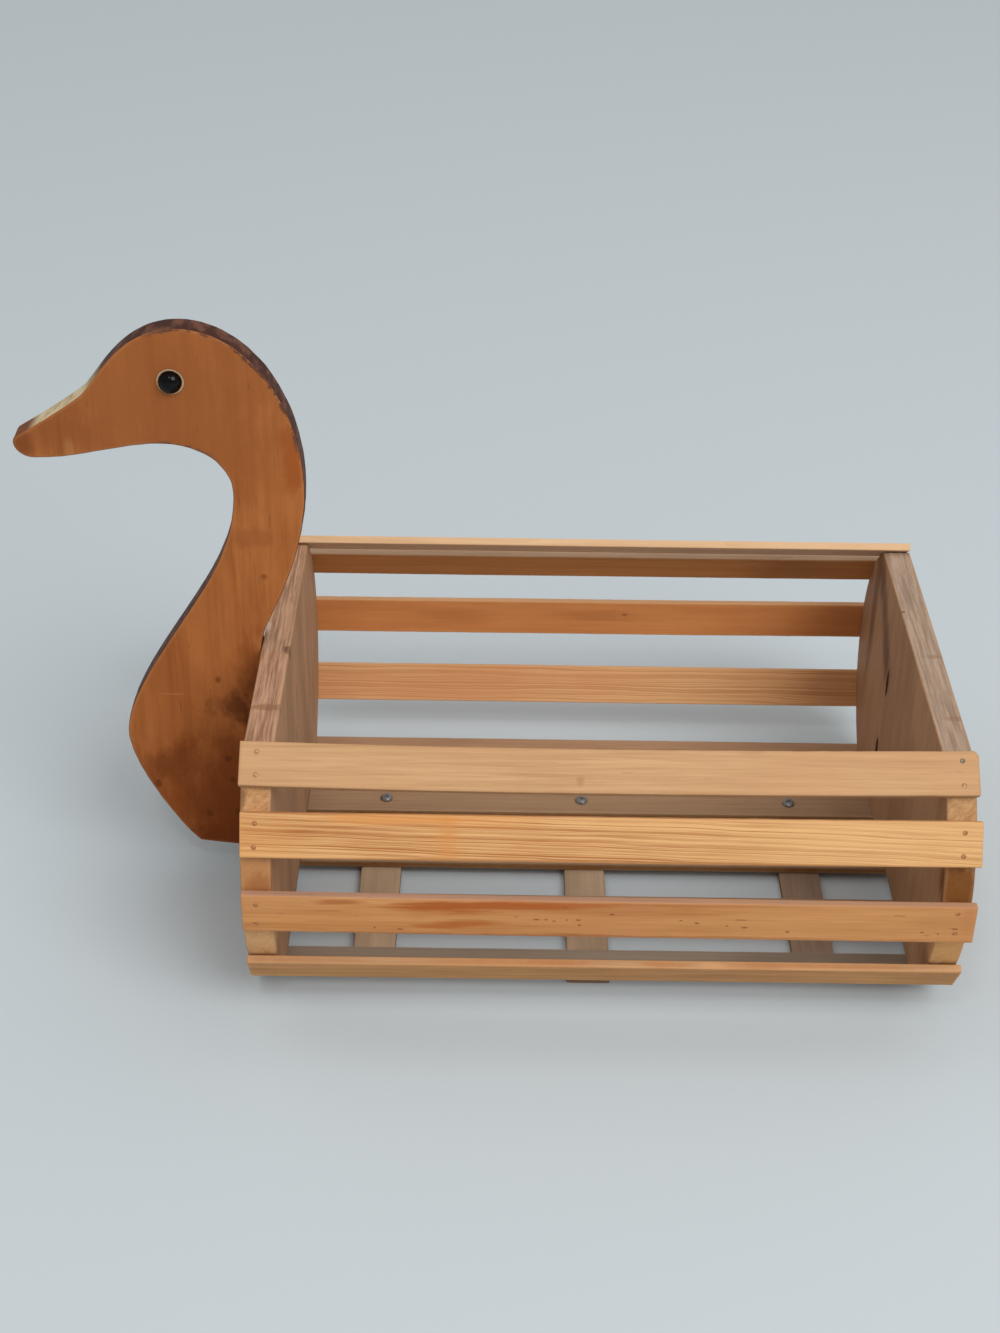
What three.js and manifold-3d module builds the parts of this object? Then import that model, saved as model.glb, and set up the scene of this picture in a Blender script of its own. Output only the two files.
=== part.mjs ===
// A wood slat basket with a goose for one end: two end panels, nailed slats, a slatted floor
// and a goose board.
// Millimetres, +Z up. X runs along the slats with the goose at -X, and -Y is the front.
// The origin is on the surface that the basket stands on, under the middle of its floor.
import * as THREE from "three";
import { mergeVertices } from "three/addons/utils/BufferGeometryUtils.js";
import Module from "manifold-3d";

// Lattice strip stock, which makes every slat and floor piece.
const SLAT_LENGTH = 457.2;
const STRIP_WIDTH = 28.5;
const STRIP_THICKNESS = 5.5;

// End panels: flat top and bottom, with front and back edges that bow out as an arc.
const PANEL_DEPTH = 350;
const PANEL_HEIGHT = 178;
const PANEL_THICKNESS = 19;
const EDGE_BULGE = 47.6;
const SLAT_OVERHANG = 1;

// Side slats, measured along the bowed edge: upper corner to the first slat's middle, then slat to slat.
const SLAT_SETBACK = 9.5;
const TOP_PITCH = 42.4;
const MIDDLE_PITCH = 51.5;
const BOTTOM_PITCH = 60;
const BACK_TOP_PITCH = 40.9;
const BACK_MIDDLE_PITCH = 56.4;
const BACK_BOTTOM_PITCH = 53.4;

// How far each slat lies off the middle along its length, from the top slat down.
const FRONT_SHIFTS = [0, 1.5, 1.5, 1];
const BACK_SHIFTS = [1.5, 0, 0, 0];

// Floor: strips along the basket, nailed under the panels, and cross slats under the strips.
const FLOOR_STRIPS = 5;
const FLOOR_PITCH = 59.8;
const FRONT_STRIP_WIDTH = 20.5;
const REAR_STRIP_SHIFT = 5;
const SCREWED_STRIP = 4;
const LEFT_CROSS_INSET = 57.6;
const RIGHT_CROSS_INSET = 60.6;
const MIDDLE_CROSS_X = -6;
const CROSS_SETBACK = 10.5;
const MIDDLE_CROSS_SETBACK = 7;

// Slat nails.
const NAIL_SPACING = 15;
const NAIL_LENGTH = 22;
const NAIL_DIAMETER = 1.6;
const NAIL_HEAD_DIAMETER = 3;
const NAIL_HEAD_THICKNESS = 0.7;
const NAIL_PROUD = 0.1;

// Pan-head floor screws.
const SCREW_HEAD_DIAMETER = 8.8;
const SCREW_HEAD_HEIGHT = 2.8;
const SCREW_HEAD_RIM = 0.8;
const SCREW_DIAMETER = 3.8;
const SCREW_TIP_DIAMETER = 1.5;
const SCREW_TIP_COVER = 1.2;

// Goose board, butted against the left panel and held by two dowels.
const GOOSE_THICKNESS = 16;
const GOOSE_REAR_CORNER = 5.1;
const NECK_RISE = 2;
const DOWEL_DIAMETER = 9;
const DOWEL_IN_PANEL = 12;
const DOWEL_IN_GOOSE = 22;
const LOWER_DOWEL_HEIGHT = 55;
const UPPER_DOWEL_HEIGHT = 130;

// Domed eyes, one on each face of the goose, measured from the panel's outer face and top.
const EYE_X = -46.8;
const EYE_ABOVE_PANEL = 193.3;
const EYE_DIAMETER = 15;
const EYE_HEIGHT = 6.5;
const EYE_RIM = 1.2;
const EYE_RING = 1.2;
const EYE_RECESS = 2.2;
const EYE_PEG_DIAMETER = 5;
const EYE_PEG_LENGTH = 3.5;

// Clearances: between seated faces, and round a pin in its hole.
const SEAT_GAP = 0.3;
const HOLE_GAP = 0.3;

// Facets of round shapes.
const EDGE_SEGMENTS = 24;
const OUTLINE_SEGMENTS = 10;
const DOME_STEPS = 5;
const NAIL_SIDES = 8;
const ROUND_SIDES = 20;

// Levels and faces that follow from the sizes.
const floorBottom = STRIP_THICKNESS + SEAT_GAP;
const floorTop = floorBottom + STRIP_THICKNESS;
const panelBottom = floorTop + SEAT_GAP;
const panelTop = panelBottom + PANEL_HEIGHT;
const panelOuter = SLAT_LENGTH / 2 - SLAT_OVERHANG;
const panelMiddle = panelOuter - PANEL_THICKNESS / 2;
const panelInner = panelOuter - PANEL_THICKNESS;
const floorDepth = (FLOOR_STRIPS - 1) * FLOOR_PITCH + STRIP_WIDTH;

// The bowed edge's arc, from its chord and its bulge.
const halfHeight = PANEL_HEIGHT / 2;
const edgeRadius = (halfHeight ** 2 + EDGE_BULGE ** 2) / (2 * EDGE_BULGE);
const edgeCentreY = PANEL_DEPTH / 2 - edgeRadius;
const edgeCentreZ = panelBottom + halfHeight;
const cornerAngle = Math.atan2(halfHeight, edgeRadius - EDGE_BULGE);

const wasm = await Module();
wasm.setup();

// A closed geometry as a solid that can be cut.
function solidOf(geometry) {
  const bare = geometry.clone();
  bare.deleteAttribute("normal");
  bare.deleteAttribute("uv");
  const merged = mergeVertices(bare);
  const corners = [];
  for (let i = 0; i < merged.index.count; i += 3) {
    const [a, b, c] = [0, 1, 2].map((k) => merged.index.getX(i + k));
    if (a !== b && b !== c && c !== a) corners.push(a, b, c);
  }
  const mesh = new wasm.Mesh({
    numProp: 3,
    vertProperties: new Float32Array(merged.attributes.position.array),
    triVerts: new Uint32Array(corners),
  });
  return new wasm.Manifold(mesh);
}

// A geometry with every tool geometry cut out of it.
function cut(geometry, tools) {
  let solid = solidOf(geometry);
  for (const tool of tools) solid = solid.subtract(solidOf(tool));
  const mesh = solid.getMesh();
  const result = new THREE.BufferGeometry();
  const vertices = new Float32Array(mesh.vertProperties);
  result.setAttribute("position", new THREE.BufferAttribute(vertices, 3));
  result.setIndex(new THREE.BufferAttribute(new Uint32Array(mesh.triVerts), 1));
  result.computeVertexNormals();
  return result;
}

// A turned solid about Y, from [radius, height] corners listed upwards.
function turned(corners, sides) {
  const profile = corners.map(([radius, height]) => new THREE.Vector2(radius, height));
  return new THREE.LatheGeometry(profile, sides);
}

// A dome's profile from the axis out to its rim: [radius, drop below the crown].
function dome(radius, height) {
  const corners = [];
  for (let step = 0; step <= DOME_STEPS; step += 1) {
    const angle = (step / DOME_STEPS) * (Math.PI / 2);
    corners.push([radius * Math.sin(angle), height * (1 - Math.cos(angle))]);
  }
  return corners;
}

function wood(colour) {
  return new THREE.MeshStandardMaterial({ color: colour, roughness: 0.62, metalness: 0 });
}

function metal(colour) {
  return new THREE.MeshStandardMaterial({ color: colour, roughness: 0.45, metalness: 0.9 });
}

const PANEL_WOOD = 0xa9835f;
const GOOSE_WOOD = 0x9b5d32;
const FLOOR_WOOD = 0x91755c;
const DOWEL_WOOD = 0xc8a882;
const EYE_BLACK = 0x0b0a0b;
const NAIL_STEEL = 0x6d5238;
const SCREW_STEEL = 0x8b8f96;

const slatRows = [
  { name: "top", colour: 0xcba073 },
  { name: "upper", colour: 0xdea56e },
  { name: "lower", colour: 0xb47b4a },
  { name: "bottom", colour: 0xb98a5a },
];

function named(name, geometry, material) {
  const mesh = new THREE.Mesh(geometry, material);
  mesh.name = name;
  return mesh;
}

// A slat lies on its seat with its inner face at y = 0 and its outer face at y = -STRIP_THICKNESS.
const nailHeadTop = -STRIP_THICKNESS - NAIL_PROUD;
const nailHeadSeat = nailHeadTop + NAIL_HEAD_THICKNESS;

function nailGeometry() {
  const shank = NAIL_DIAMETER / 2;
  const head = NAIL_HEAD_DIAMETER / 2;
  const tip = nailHeadSeat + NAIL_LENGTH;
  const profile = [
    [0, nailHeadTop],
    [head, nailHeadTop],
    [head, nailHeadSeat],
    [shank, nailHeadSeat],
    [shank, tip - NAIL_DIAMETER],
    [0, tip],
  ];
  return turned(profile, NAIL_SIDES);
}

// The space a nail takes: a counterbore for its head and a bore for its shank.
function nailBore() {
  const shank = NAIL_DIAMETER / 2 + HOLE_GAP;
  const head = NAIL_HEAD_DIAMETER / 2 + HOLE_GAP;
  const mouth = nailHeadTop - STRIP_THICKNESS;
  const end = nailHeadSeat + NAIL_LENGTH + HOLE_GAP;
  const profile = [
    [0, mouth],
    [head, mouth],
    [head, nailHeadSeat + HOLE_GAP],
    [shank, nailHeadSeat + HOLE_GAP],
    [shank, end],
    [0, end],
  ];
  return turned(profile, NAIL_SIDES);
}

// The angle of each slat's seat above the middle of the bowed edge.
function seatAngles(pitches) {
  let along = SLAT_SETBACK;
  const distances = [along];
  for (const pitch of pitches) {
    along += pitch;
    distances.push(along);
  }
  return distances.map((distance) => cornerAngle - distance / edgeRadius);
}

// One slat of the front, with its four nails, in a group that sits on the bowed edge.
function slatGroup(side, row, angle, mirrored, shift) {
  const group = new THREE.Group();
  const reach = edgeRadius + SEAT_GAP;
  group.position.set(0, -edgeCentreY - reach * Math.cos(angle), edgeCentreZ + reach * Math.sin(angle));
  group.rotation.x = -angle;
  const bores = [];
  for (const end of [-1, 1]) {
    for (const level of [-1, 1]) {
      const endName = end * mirrored < 0 ? "left" : "right";
      const levelName = level < 0 ? "lower" : "upper";
      const name = `${side}_${row.name}_slat_nail_${endName}_${levelName}`;
      const nail = named(name, nailGeometry(), metal(NAIL_STEEL));
      nail.position.set(end * panelMiddle, 0, (level * NAIL_SPACING) / 2);
      group.add(nail);
      bores.push(nailBore().translate(...nail.position));
    }
  }
  const board = new THREE.BoxGeometry(SLAT_LENGTH, STRIP_THICKNESS, STRIP_WIDTH);
  board.translate(shift, -STRIP_THICKNESS / 2, 0);
  group.add(named(`${side}_${row.name}_slat`, cut(board, bores), wood(row.colour)));
  return group;
}

// The four slats of one side. The back is made as a front, then turned half round.
function slatSide(side, turn, pitches, shifts) {
  const group = new THREE.Group();
  group.rotation.z = turn;
  const mirrored = Math.cos(turn);
  seatAngles(pitches).forEach((angle, i) => {
    group.add(slatGroup(side, slatRows[i], angle, mirrored, shifts[i]));
  });
  return group;
}

// Cross slats lie on the ground. The outer two are set in from the panels' inner faces.
const crossSlats = [
  { name: "left", x: LEFT_CROSS_INSET - panelInner, setback: CROSS_SETBACK },
  { name: "middle", x: MIDDLE_CROSS_X, setback: MIDDLE_CROSS_SETBACK },
  { name: "right", x: panelInner - RIGHT_CROSS_INSET, setback: CROSS_SETBACK },
];

function stripY(number) {
  return (number - 1 - (FLOOR_STRIPS - 1) / 2) * FLOOR_PITCH;
}

// The front strip is ripped narrower along its front edge, and the rear strip lies a little further back.
function stripPlace(number) {
  const width = number === 1 ? FRONT_STRIP_WIDTH : STRIP_WIDTH;
  const shift = number === FLOOR_STRIPS ? REAR_STRIP_SHIFT : 0;
  return { width, y: stripY(number) + (STRIP_WIDTH - width) / 2 + shift };
}

const screwTip = SCREW_TIP_COVER + HOLE_GAP;

function screwGeometry() {
  const shank = SCREW_DIAMETER / 2;
  const head = SCREW_HEAD_DIAMETER / 2;
  const seat = floorTop + SEAT_GAP;
  const crown = seat + SCREW_HEAD_HEIGHT;
  const headDome = dome(head, SCREW_HEAD_HEIGHT - SCREW_HEAD_RIM).reverse();
  const profile = [
    [0, screwTip],
    [SCREW_TIP_DIAMETER / 2, screwTip],
    [shank, screwTip + shank],
    [shank, seat],
    [head, seat],
    ...headDome.map(([radius, drop]) => [radius, crown - drop]),
  ];
  return turned(profile, ROUND_SIDES).rotateX(Math.PI / 2);
}

function screwBore() {
  const radius = SCREW_DIAMETER / 2 + HOLE_GAP;
  const profile = [
    [0, SCREW_TIP_COVER],
    [radius, SCREW_TIP_COVER],
    [radius, floorTop + STRIP_THICKNESS],
    [0, floorTop + STRIP_THICKNESS],
  ];
  return turned(profile, ROUND_SIDES).rotateX(Math.PI / 2);
}

function floorGroup() {
  const group = new THREE.Group();
  const screwY = stripY(SCREWED_STRIP);
  const bores = crossSlats.map((cross) => screwBore().translate(cross.x, screwY, 0));
  for (let number = 1; number <= FLOOR_STRIPS; number += 1) {
    const { width, y } = stripPlace(number);
    const strip = new THREE.BoxGeometry(SLAT_LENGTH, width, STRIP_THICKNESS);
    strip.translate(0, y, (floorBottom + floorTop) / 2);
    const tools = number === SCREWED_STRIP ? bores : [];
    group.add(named(`floor_strip_${number}`, cut(strip, tools), wood(FLOOR_WOOD)));
  }
  crossSlats.forEach((cross, i) => {
    const length = floorDepth - 2 * cross.setback;
    const slat = new THREE.BoxGeometry(STRIP_WIDTH, length, STRIP_THICKNESS);
    slat.translate(cross.x, 0, STRIP_THICKNESS / 2);
    group.add(named(`${cross.name}_cross_slat`, cut(slat, [bores[i]]), wood(FLOOR_WOOD)));
    const screw = named(`floor_screw_${cross.name}`, screwGeometry(), metal(SCREW_STEEL));
    screw.position.set(cross.x, screwY, 0);
    group.add(screw);
  });
  return group;
}

// The panel's outline across the basket, set up on edge from lowX and cut for the pins that enter it.
function panelGeometry(lowX, bores) {
  const cornerY = PANEL_DEPTH / 2 - EDGE_BULGE;
  const outline = new THREE.Shape();
  outline.moveTo(-cornerY, panelBottom);
  outline.lineTo(cornerY, panelBottom);
  outline.absarc(edgeCentreY, edgeCentreZ, edgeRadius, -cornerAngle, cornerAngle, false);
  outline.lineTo(-cornerY, panelTop);
  const [start, end] = [Math.PI - cornerAngle, Math.PI + cornerAngle];
  outline.absarc(-edgeCentreY, edgeCentreZ, edgeRadius, start, end, false);
  const settings = { depth: PANEL_THICKNESS, bevelEnabled: false, curveSegments: EDGE_SEGMENTS };
  const panel = new THREE.ExtrudeGeometry(outline, settings);
  const across = new THREE.Vector3(0, 1, 0);
  const up = new THREE.Vector3(0, 0, 1);
  const along = new THREE.Vector3(1, 0, 0);
  panel.applyMatrix4(new THREE.Matrix4().makeBasis(across, up, along));
  panel.translate(lowX, 0, 0);
  return cut(panel, bores);
}

// Dowels run along X through the butt joint of the left panel and the goose.
const dowels = [
  { name: "lower", z: panelBottom + LOWER_DOWEL_HEIGHT },
  { name: "upper", z: panelBottom + UPPER_DOWEL_HEIGHT },
];

function dowelPin(radius, endGap) {
  const length = DOWEL_IN_PANEL + SEAT_GAP + DOWEL_IN_GOOSE + 2 * endGap;
  const pin = new THREE.CylinderGeometry(radius, radius, length, ROUND_SIDES);
  const middle = -panelOuter + DOWEL_IN_PANEL + endGap - length / 2;
  return pin.rotateZ(Math.PI / 2).translate(middle, 0, 0);
}

function dowelBores() {
  return dowels.map((dowel) => dowelPin(DOWEL_DIAMETER / 2 + HOLE_GAP, HOLE_GAP).translate(0, 0, dowel.z));
}

// The goose's outline: X from the panel's outer face, low heights from the panel's underside and
// high heights from its top. It runs up the back of the neck, over the head, and down the breast.
function gooseOutline() {
  const x = (value) => value - panelOuter;
  const low = (value) => panelBottom + value;
  const high = (value) => panelTop + value;
  const outline = new THREE.Shape();
  outline.moveTo(x(-SEAT_GAP), low(GOOSE_REAR_CORNER));
  outline.lineTo(x(-SEAT_GAP), high(NECK_RISE));
  // Back of the neck, from a short shoulder over the panel, and back of the head.
  outline.lineTo(x(3.3), high(15));
  outline.bezierCurveTo(x(16), high(42), x(35), high(82), x(33), high(127));
  outline.bezierCurveTo(x(31.5), high(182), x(0), high(229), x(-41), high(229));
  // Forehead and top of the beak.
  outline.bezierCurveTo(x(-77), high(229), x(-93), high(193), x(-103.5), high(183.5));
  outline.quadraticCurveTo(x(-119), high(171.3), x(-147), high(154.3));
  // Beak tip and underside.
  outline.bezierCurveTo(x(-152.2), high(149.5), x(-147.5), high(139.2), x(-136), high(139.2));
  outline.bezierCurveTo(x(-105), high(139.2), x(-83), high(150), x(-55.7), high(150));
  // Throat and front of the neck.
  outline.bezierCurveTo(x(-30), high(150), x(-12.6), high(135), x(-12.6), high(115));
  outline.bezierCurveTo(x(-12.6), high(92), x(-23.4), high(64), x(-39.6), high(38.5));
  // Breast and foot.
  outline.bezierCurveTo(x(-61), high(2.7), x(-95.7), low(135), x(-95.7), low(104));
  outline.bezierCurveTo(x(-95.7), low(79), x(-68), low(28.5), x(-52.2), low(12));
  outline.closePath();
  return outline;
}

// An eye faces -Y: a dome in a shallow recess, with a peg into the board.
const eyePlace = [EYE_X - panelOuter, -GOOSE_THICKNESS / 2, panelTop + EYE_ABOVE_PANEL];
const eyeSeat = EYE_RECESS - SEAT_GAP;

function eyeGeometry() {
  const radius = EYE_DIAMETER / 2;
  const peg = EYE_PEG_DIAMETER / 2;
  const crown = eyeSeat - EYE_RIM - EYE_HEIGHT;
  const profile = [
    ...dome(radius, EYE_HEIGHT).map(([r, drop]) => [r, crown + drop]),
    [radius, eyeSeat],
    [peg, eyeSeat],
    [peg, eyeSeat + EYE_PEG_LENGTH],
    [0, eyeSeat + EYE_PEG_LENGTH],
  ];
  return turned(profile, ROUND_SIDES);
}

function eyeBore() {
  const recess = EYE_DIAMETER / 2 + EYE_RING;
  const peg = EYE_PEG_DIAMETER / 2 + HOLE_GAP;
  const end = eyeSeat + EYE_PEG_LENGTH + HOLE_GAP;
  const profile = [
    [0, -EYE_HEIGHT],
    [recess, -EYE_HEIGHT],
    [recess, EYE_RECESS],
    [peg, EYE_RECESS],
    [peg, end],
    [0, end],
  ];
  return turned(profile, ROUND_SIDES);
}

// The goose board stands upright in the middle of the basket's depth.
function gooseGroup() {
  const group = new THREE.Group();
  const settings = { depth: GOOSE_THICKNESS, bevelEnabled: false, curveSegments: OUTLINE_SEGMENTS };
  const board = new THREE.ExtrudeGeometry(gooseOutline(), settings);
  board.rotateX(Math.PI / 2).translate(0, GOOSE_THICKNESS / 2, 0);
  const [x, y, z] = eyePlace;
  const frontBore = eyeBore().translate(x, y, z);
  const rearBore = eyeBore().rotateZ(Math.PI).translate(x, -y, z);
  const bores = [frontBore, rearBore, ...dowelBores()];
  group.add(named("goose_board", cut(board, bores), wood(GOOSE_WOOD)));
  for (const side of ["front", "rear"]) {
    const facing = side === "front" ? 1 : -1;
    const material = new THREE.MeshStandardMaterial({ color: EYE_BLACK, roughness: 0.08, metalness: 0 });
    const eye = named(`${side}_eye`, eyeGeometry(), material);
    eye.position.set(x, y * facing, z);
    eye.rotation.z = facing > 0 ? 0 : Math.PI;
    group.add(eye);
  }
  for (const dowel of dowels) {
    const pin = named(`goose_dowel_${dowel.name}`, dowelPin(DOWEL_DIAMETER / 2, 0), wood(DOWEL_WOOD));
    pin.position.z = dowel.z;
    group.add(pin);
  }
  return group;
}

const basket = new THREE.Group();
const frontPitches = [TOP_PITCH, MIDDLE_PITCH, BOTTOM_PITCH];
const backPitches = [BACK_TOP_PITCH, BACK_MIDDLE_PITCH, BACK_BOTTOM_PITCH];
const frontSlats = slatSide("front", 0, frontPitches, FRONT_SHIFTS);
const backSlats = slatSide("back", Math.PI, backPitches, BACK_SHIFTS);
basket.add(frontSlats, backSlats, floorGroup(), gooseGroup());
basket.updateMatrixWorld(true);

// Each panel is bored for the nails that reach it.
function nailBoresAt(end) {
  const bores = [];
  basket.traverse((piece) => {
    const isNail = piece.isMesh && piece.name.includes("_nail_");
    if (isNail && piece.name.includes(end)) bores.push(nailBore().applyMatrix4(piece.matrixWorld));
  });
  return bores;
}

const leftPanel = panelGeometry(-panelOuter, [...nailBoresAt("_left_"), ...dowelBores()]);
const rightPanel = panelGeometry(panelInner, nailBoresAt("_right_"));
basket.add(named("left_end_panel", leftPanel, wood(PANEL_WOOD)));
basket.add(named("right_end_panel", rightPanel, wood(PANEL_WOOD)));

export default basket;
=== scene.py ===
"""A wood slat basket with a goose at one end: finishes and fine shapes. Metres, +Z up, front towards -Y."""
import math

import bmesh
import bpy
from mathutils import Matrix, Vector, noise


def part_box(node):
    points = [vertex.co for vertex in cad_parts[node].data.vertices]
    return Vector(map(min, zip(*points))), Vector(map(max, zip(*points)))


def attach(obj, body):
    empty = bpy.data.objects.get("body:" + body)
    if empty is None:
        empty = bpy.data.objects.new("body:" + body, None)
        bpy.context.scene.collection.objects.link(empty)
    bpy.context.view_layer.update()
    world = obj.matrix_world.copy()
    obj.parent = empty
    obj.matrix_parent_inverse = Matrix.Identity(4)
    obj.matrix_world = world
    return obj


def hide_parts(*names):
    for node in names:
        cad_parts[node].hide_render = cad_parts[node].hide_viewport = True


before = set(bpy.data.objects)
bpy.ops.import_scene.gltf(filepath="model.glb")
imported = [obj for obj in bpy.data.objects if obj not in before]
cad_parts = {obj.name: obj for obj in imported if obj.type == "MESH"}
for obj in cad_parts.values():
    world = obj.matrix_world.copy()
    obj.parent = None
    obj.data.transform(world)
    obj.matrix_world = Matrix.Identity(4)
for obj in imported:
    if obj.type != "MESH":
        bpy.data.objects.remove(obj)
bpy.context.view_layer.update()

MM = 0.001

# Stock and section, in millimetres
STRIP_WIDTH = 28.5
STRIP_THICKNESS = 5.5
PANEL_DEPTH = 350.0
PANEL_HEIGHT = 178.0
PANEL_FOOT = 11.6
EDGE_BULGE = 47.6

# Eased and worn arrises, in millimetres. A wear ring is (distance from the arris, share of wear)
STRIP_ARRIS = 0.8
PANEL_ARRIS = 1.1
GOOSE_ARRIS = 1.3
ARRIS_STEPS = 3
STRIP_STEPS = 44
SLAT_STEPS = 60
WEAR_RINGS = ((1.4, 0.45), (3.0, 0.0))
EDGE_RING = 2.0
STRIP_NICKS = 0.18
PANEL_DENTS = 0.25
GOOSE_DENTS = 0.3
SLIVER = 0.003

# How the strips stray from true, in millimetres: drift is (sideways, outwards) and a skew is (rise, lean)
STRIP_DRIFT = (0.25, 0.15)
CROSS_DRIFT = (0.25, 0.0)
SLAT_BOWS = {"front_top": -2.2, "front_upper": -0.5, "front_lower": -0.6}
SLAT_SKEWS = {"front_lower": (0, -0.9), "back_top": (-0.7, -0.7), "back_upper": (0.6, -0.6),
              "back_lower": (0.6, -0.6)}
STRIP_NUDGES = {"floor_strip_2": -3.2}
WORN_SLAT = "front_top_slat"
WORN_CORNER = 5.0

# Nails, screws and eyes, in millimetres
NAIL_INSET = 10.5
NAIL_REACH = 218.1
NAIL_SPACING = 15.0
NAIL_RADIUS = 1.5
NAIL_SINK = 0.15
NAIL_MARGIN = 5.0
NAIL_WANDER = 1.2
NAIL_SPIN = 9000
NAIL_SIDES = 24
DARK_NAILS = ("front_top_slat_nail_right_upper",)
RUSTY_SLATS = ("front_upper_slat", "front_lower_slat")
SCREW_RADIUS = 4.4
SCREW_HEIGHT = 2.8
SCREW_RIM = 0.7
SCREW_SIDES = 48
SCREW_TURNS = {"left": 0.5, "middle": 1.4, "right": 2.3}
RECESS_LENGTH = 4.6
RECESS_WIDTH = 1.0
RECESS_DEPTH = 1.5
RECESS_HEIGHT = 3.2
RECESS_TAPER = 0.55
EYE_RADIUS = 7.5
EYE_HEIGHT = 6.5
EYE_RIM = 0.2
EYE_RING = 8.7
EYE_SINK = 0.3
EYE_SIDES = 56
EYE_FULLNESS = 0.9

# View, as metres and radians, with the lens as a multiple of the frame's width
CAMERA_PLACE = (-0.0697, -1.15898, 0.93916)
CAMERA_YAW = 0.0013
CAMERA_PITCH = 0.5857
CAMERA_ROLL = 0.0145
CAMERA_FOCAL = 2.0524

# Light: a soft sky that is brighter overhead, a wide lamp from the front right, and a small one for the eye
FLOOR_COLOUR = (199, 208, 212)
FLOOR_REACH = 60.0
SKY_LOW = 0.3
SKY_HIGH = 0.8
BACKDROP = 0.4
LAMP_PLACE = (2.2, -2.7, 3.5)
LAMP_SIZE = 3.2
LAMP_POWER = 112.0
SPARK_PLACE = (-0.35, -1.5, 2.4)
SPARK_SIZE = 0.3
SPARK_POWER = 5.0

# Grain and tarnish
UPRIGHT = (0, math.pi / 2, 0)
RIM_SLANT = 0.7
TARNISH = 0.8

ROWS = ("top", "upper", "lower", "bottom")
SIDES = ("front", "back")
ENDS = (("left", -1), ("right", 1))
LEVELS = (("lower", -1), ("upper", 1))


def linear(colour):
    """Screen values from 0 to 255 as the linear colour that a socket takes."""
    parts = [c / 255 for c in colour]
    return [p / 12.92 if p <= 0.04045 else ((p + 0.055) / 1.055) ** 2.4 for p in parts] + [1.0]


class Finish:
    """One material, with short calls for the nodes that the finishes are made of. Lengths in millimetres."""

    def __init__(self, name):
        self.material = bpy.data.materials.new(name)
        self.material.use_nodes = True
        self.tree = self.material.node_tree
        self.shader = next(n for n in self.tree.nodes if n.type == "BSDF_PRINCIPLED")
        self.coordinates = self.node("TexCoord")
        self.place = self.vector("MULTIPLY", self.coordinates.outputs["Object"], (1000, 1000, 1000))

    def feed(self, socket, value):
        if isinstance(value, bpy.types.NodeSocket):
            self.tree.links.new(value, socket)
        else:
            socket.default_value = value

    def node(self, kind, inputs=None, **settings):
        made = self.tree.nodes.new("ShaderNode" + kind)
        for key, value in settings.items():
            setattr(made, key, value)
        for key, value in (inputs or {}).items():
            self.feed(made.inputs[key], value)
        return made

    def vector(self, operation, first, second):
        return self.node("VectorMath", {0: first, 1: second}, operation=operation).outputs[0]

    def length(self, first):
        return self.node("VectorMath", {0: first}, operation="LENGTH").outputs["Value"]

    def math(self, operation, first, second=0.0):
        return self.node("Math", {0: first, 1: second}, operation=operation).outputs[0]

    def parts(self, vector):
        return self.node("SeparateXYZ", {0: vector}).outputs

    def clamp(self, value):
        return self.node("Clamp", {0: value}).outputs[0]

    def between(self, value, low, high, bottom=0.0, top=1.0):
        """Goes smoothly from bottom to top as the value goes from low to high."""
        limits = {"Value": value, "From Min": low, "From Max": high, "To Min": bottom, "To Max": top}
        return self.node("MapRange", limits, interpolation_type="SMOOTHSTEP").outputs[0]

    def swing(self, value, amount):
        """A soft noise as a swing about nought, of the given amount from end to end."""
        half = amount / 2
        limits = {"Value": value, "From Min": 0.3, "From Max": 0.7, "To Min": -half, "To Max": half}
        return self.node("MapRange", limits).outputs[0]

    def turned(self, place, turn=(0, 0, 0), shift=(0, 0, 0), stretch=(1, 1, 1)):
        settings = {"Vector": place, "Location": shift, "Rotation": turn, "Scale": stretch}
        return self.node("Mapping", settings).outputs[0]

    def cloud(self, place, size, stretch=(1, 1, 1), detail=3.0, rough=0.55, shift=(0, 0, 0)):
        """Soft noise from 0 to 1 with patches of about the given size."""
        moved = self.turned(place, shift=shift, stretch=[s / size for s in stretch])
        inputs = {"Vector": moved, "Scale": 1.0, "Detail": detail, "Roughness": rough}
        return self.node("TexNoise", inputs).outputs[0]

    def blend(self, amount, low, high):
        """A mix of two colours, each a socket or screen values."""
        made = self.node("Mix", data_type="RGBA")
        self.feed(made.inputs[0], amount)
        for index, colour in ((6, low), (7, high)):
            shown = colour if isinstance(colour, bpy.types.NodeSocket) else linear(colour)
            self.feed(made.inputs[index], shown)
        return made.outputs[2]

    def normal(self):
        """The size of the normal along each of the piece's own axes."""
        return self.parts(self.vector("ABSOLUTE", self.coordinates.outputs["Normal"], (0, 0, 0)))

    def attribute(self, name):
        return self.node("Attribute", attribute_name=name, attribute_type="GEOMETRY").outputs["Fac"]


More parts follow.
